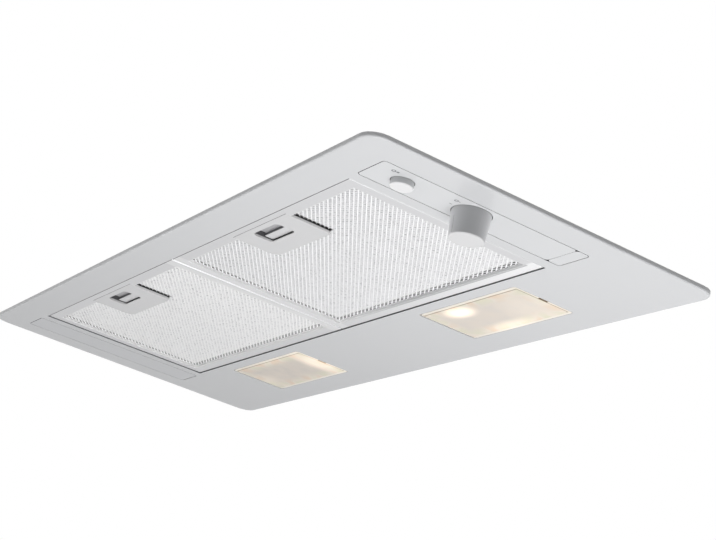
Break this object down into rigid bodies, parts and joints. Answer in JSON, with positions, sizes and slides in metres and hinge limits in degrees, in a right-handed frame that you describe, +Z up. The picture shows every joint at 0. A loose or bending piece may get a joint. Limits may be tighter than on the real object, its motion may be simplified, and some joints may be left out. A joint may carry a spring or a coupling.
{
  "type": "built-in range hood",
  "caption": "Built-in range hood insert: flush metal flange panel with hinged grease filters, lamps, speed knob and light button, and a blower with a duct collar above.",
  "frame": {"origin": "middle of the flange's upper face, which seats against the underside of the cabinet", "axes": "+Z up towards the duct, +X along the length to the control strip, -Y to the front, where the filter handles are"},
  "size_m": [0.714, 0.292, 0.298],
  "materials": {
    "panel_paint": "satin silver-grey paint",
    "galvanised": "galvanised sheet",
    "zinc": "zinc-plated",
    "spring_steel": "rolled spring steel",
    "strip_plastic": "silver-grey, the panel's colour",
    "white_plastic": "moulded",
    "ivory_plastic": "moulded",
    "knob_plastic": "silver-grey, smooth",
    "filter_frame": "folded sheet",
    "filter_mesh": "bright stretched mesh",
    "filter_core": "packed net layers in shade",
    "handle_plastic": "light grey moulding",
    "latch_plastic": "light grey moulding",
    "lamp_tray": "white enamel",
    "porcelain": "glazed",
    "bulb_glass": "frosted",
    "lens_plastic": "frosted cover",
    "scroll_plastic": "moulded",
    "wheel_metal": "pressed blades",
    "motor_metal": "dark enamel",
    "collar_plastic": "moulded",
    "black_plastic": "moulded"
  },
  "bodies": {
    "housing": {"bottom_panel": "panel_paint", "lower_frame": "galvanised", "motor_box": "galvanised", "panel_nuts": "zinc", "box_screws": "zinc", "cabinet_clips": "spring_steel", "control_strip": "strip_plastic", "control_strip_end": "strip_plastic", "blank_strip": "strip_plastic", "control_box": "white_plastic", "rotary_switch": "ivory_plastic", "light_switch": "ivory_plastic", "lamp_housing_left": "lamp_tray", "lamp_housing_right": "lamp_tray", "lamp_holder_left": "porcelain", "lamp_holder_right": "porcelain", "bulb_left": "bulb_glass", "bulb_right": "bulb_glass", "scroll_left": "scroll_plastic", "scroll_right": "scroll_plastic", "inlet_ring_left": "scroll_plastic", "inlet_ring_right": "scroll_plastic", "motor": "motor_metal", "motor_bracket": "zinc", "capacitor": "white_plastic", "capacitor_clip": "zinc", "duct_collar": "collar_plastic", "collar_screws": "zinc", "terminal_box": "black_plastic", "terminal_cover": "black_plastic", "terminal_screws": "zinc", "cable_gland": "black_plastic", "gland_nut": "black_plastic"},
    "knob": {"speed_knob": "knob_plastic", "knob_shaft": "zinc"},
    "button": {"light_button": "knob_plastic"},
    "filter_left": {"filter_frame_left": "filter_frame", "filter_mesh_left": "filter_mesh", "filter_core_left": "filter_core", "handle_plate_left": "handle_plastic"},
    "filter_right": {"filter_frame_right": "filter_frame", "filter_mesh_right": "filter_mesh", "filter_core_right": "filter_core", "handle_plate_right": "handle_plastic"},
    "latch_left": {"latch_left": "latch_plastic"},
    "latch_right": {"latch_right": "latch_plastic"},
    "lens_left": {"lens_cover_left": "lens_plastic"},
    "lens_right": {"lens_cover_right": "lens_plastic"},
    "fan": {"impeller": "wheel_metal", "fan_shaft": "zinc"},
    "flap_front": {"damper_flap_front": "collar_plastic"},
    "flap_back": {"damper_flap_back": "collar_plastic"}
  },
  "joints": [
    {"name": "speed_knob_turn", "type": "hinge", "parent": "housing", "child": "knob", "pos_m": [0.3125, -0.036, -0.01], "axis": [0, 0, 1], "range_deg": [0, 135]},
    {"name": "light_button_press", "type": "slide", "parent": "housing", "child": "button", "axis": [0, 0, 1], "range_m": [0, 0.0025], "stiffness_N_per_m": 600},
    {"name": "filter_left_tilt", "type": "hinge", "parent": "housing", "child": "filter_left", "pos_m": [-0.14115, 0.0489, -0.0018], "axis": [1, 0, 0], "range_deg": [0, 80]},
    {"name": "filter_right_tilt", "type": "hinge", "parent": "housing", "child": "filter_right", "pos_m": [0.14115, 0.0489, -0.0018], "axis": [1, 0, 0], "range_deg": [0, 80]},
    {"name": "latch_left_slide", "type": "slide", "parent": "filter_left", "child": "latch_left", "axis": [0, 1, 0], "range_m": [0, 0.005], "stiffness_N_per_m": 400},
    {"name": "latch_right_slide", "type": "slide", "parent": "filter_right", "child": "latch_right", "axis": [0, 1, 0], "range_m": [0, 0.005], "stiffness_N_per_m": 400},
    {"name": "lens_left_swing", "type": "hinge", "parent": "housing", "child": "lens_left", "pos_m": [-0.2289, 0.08975, -0.0015], "axis": [0, 1, 0], "range_deg": [0, 75]},
    {"name": "lens_right_swing", "type": "hinge", "parent": "housing", "child": "lens_right", "pos_m": [0.1041, 0.08975, -0.0015], "axis": [0, 1, 0], "range_deg": [0, 75]},
    {"name": "fan_spin", "type": "hinge", "parent": "housing", "child": "fan", "pos_m": [0, -0.042, 0.15], "axis": [1, 0, 0], "continuous": true},
    {"name": "flap_front_swing", "type": "hinge", "parent": "housing", "child": "flap_front", "pos_m": [0, 0.011, 0.25], "axis": [-1, 0, 0], "range_deg": [0, 75]},
    {"name": "flap_back_swing", "type": "hinge", "parent": "housing", "child": "flap_back", "pos_m": [0, 0.019, 0.25], "axis": [1, 0, 0], "range_deg": [0, 75]}
  ]
}
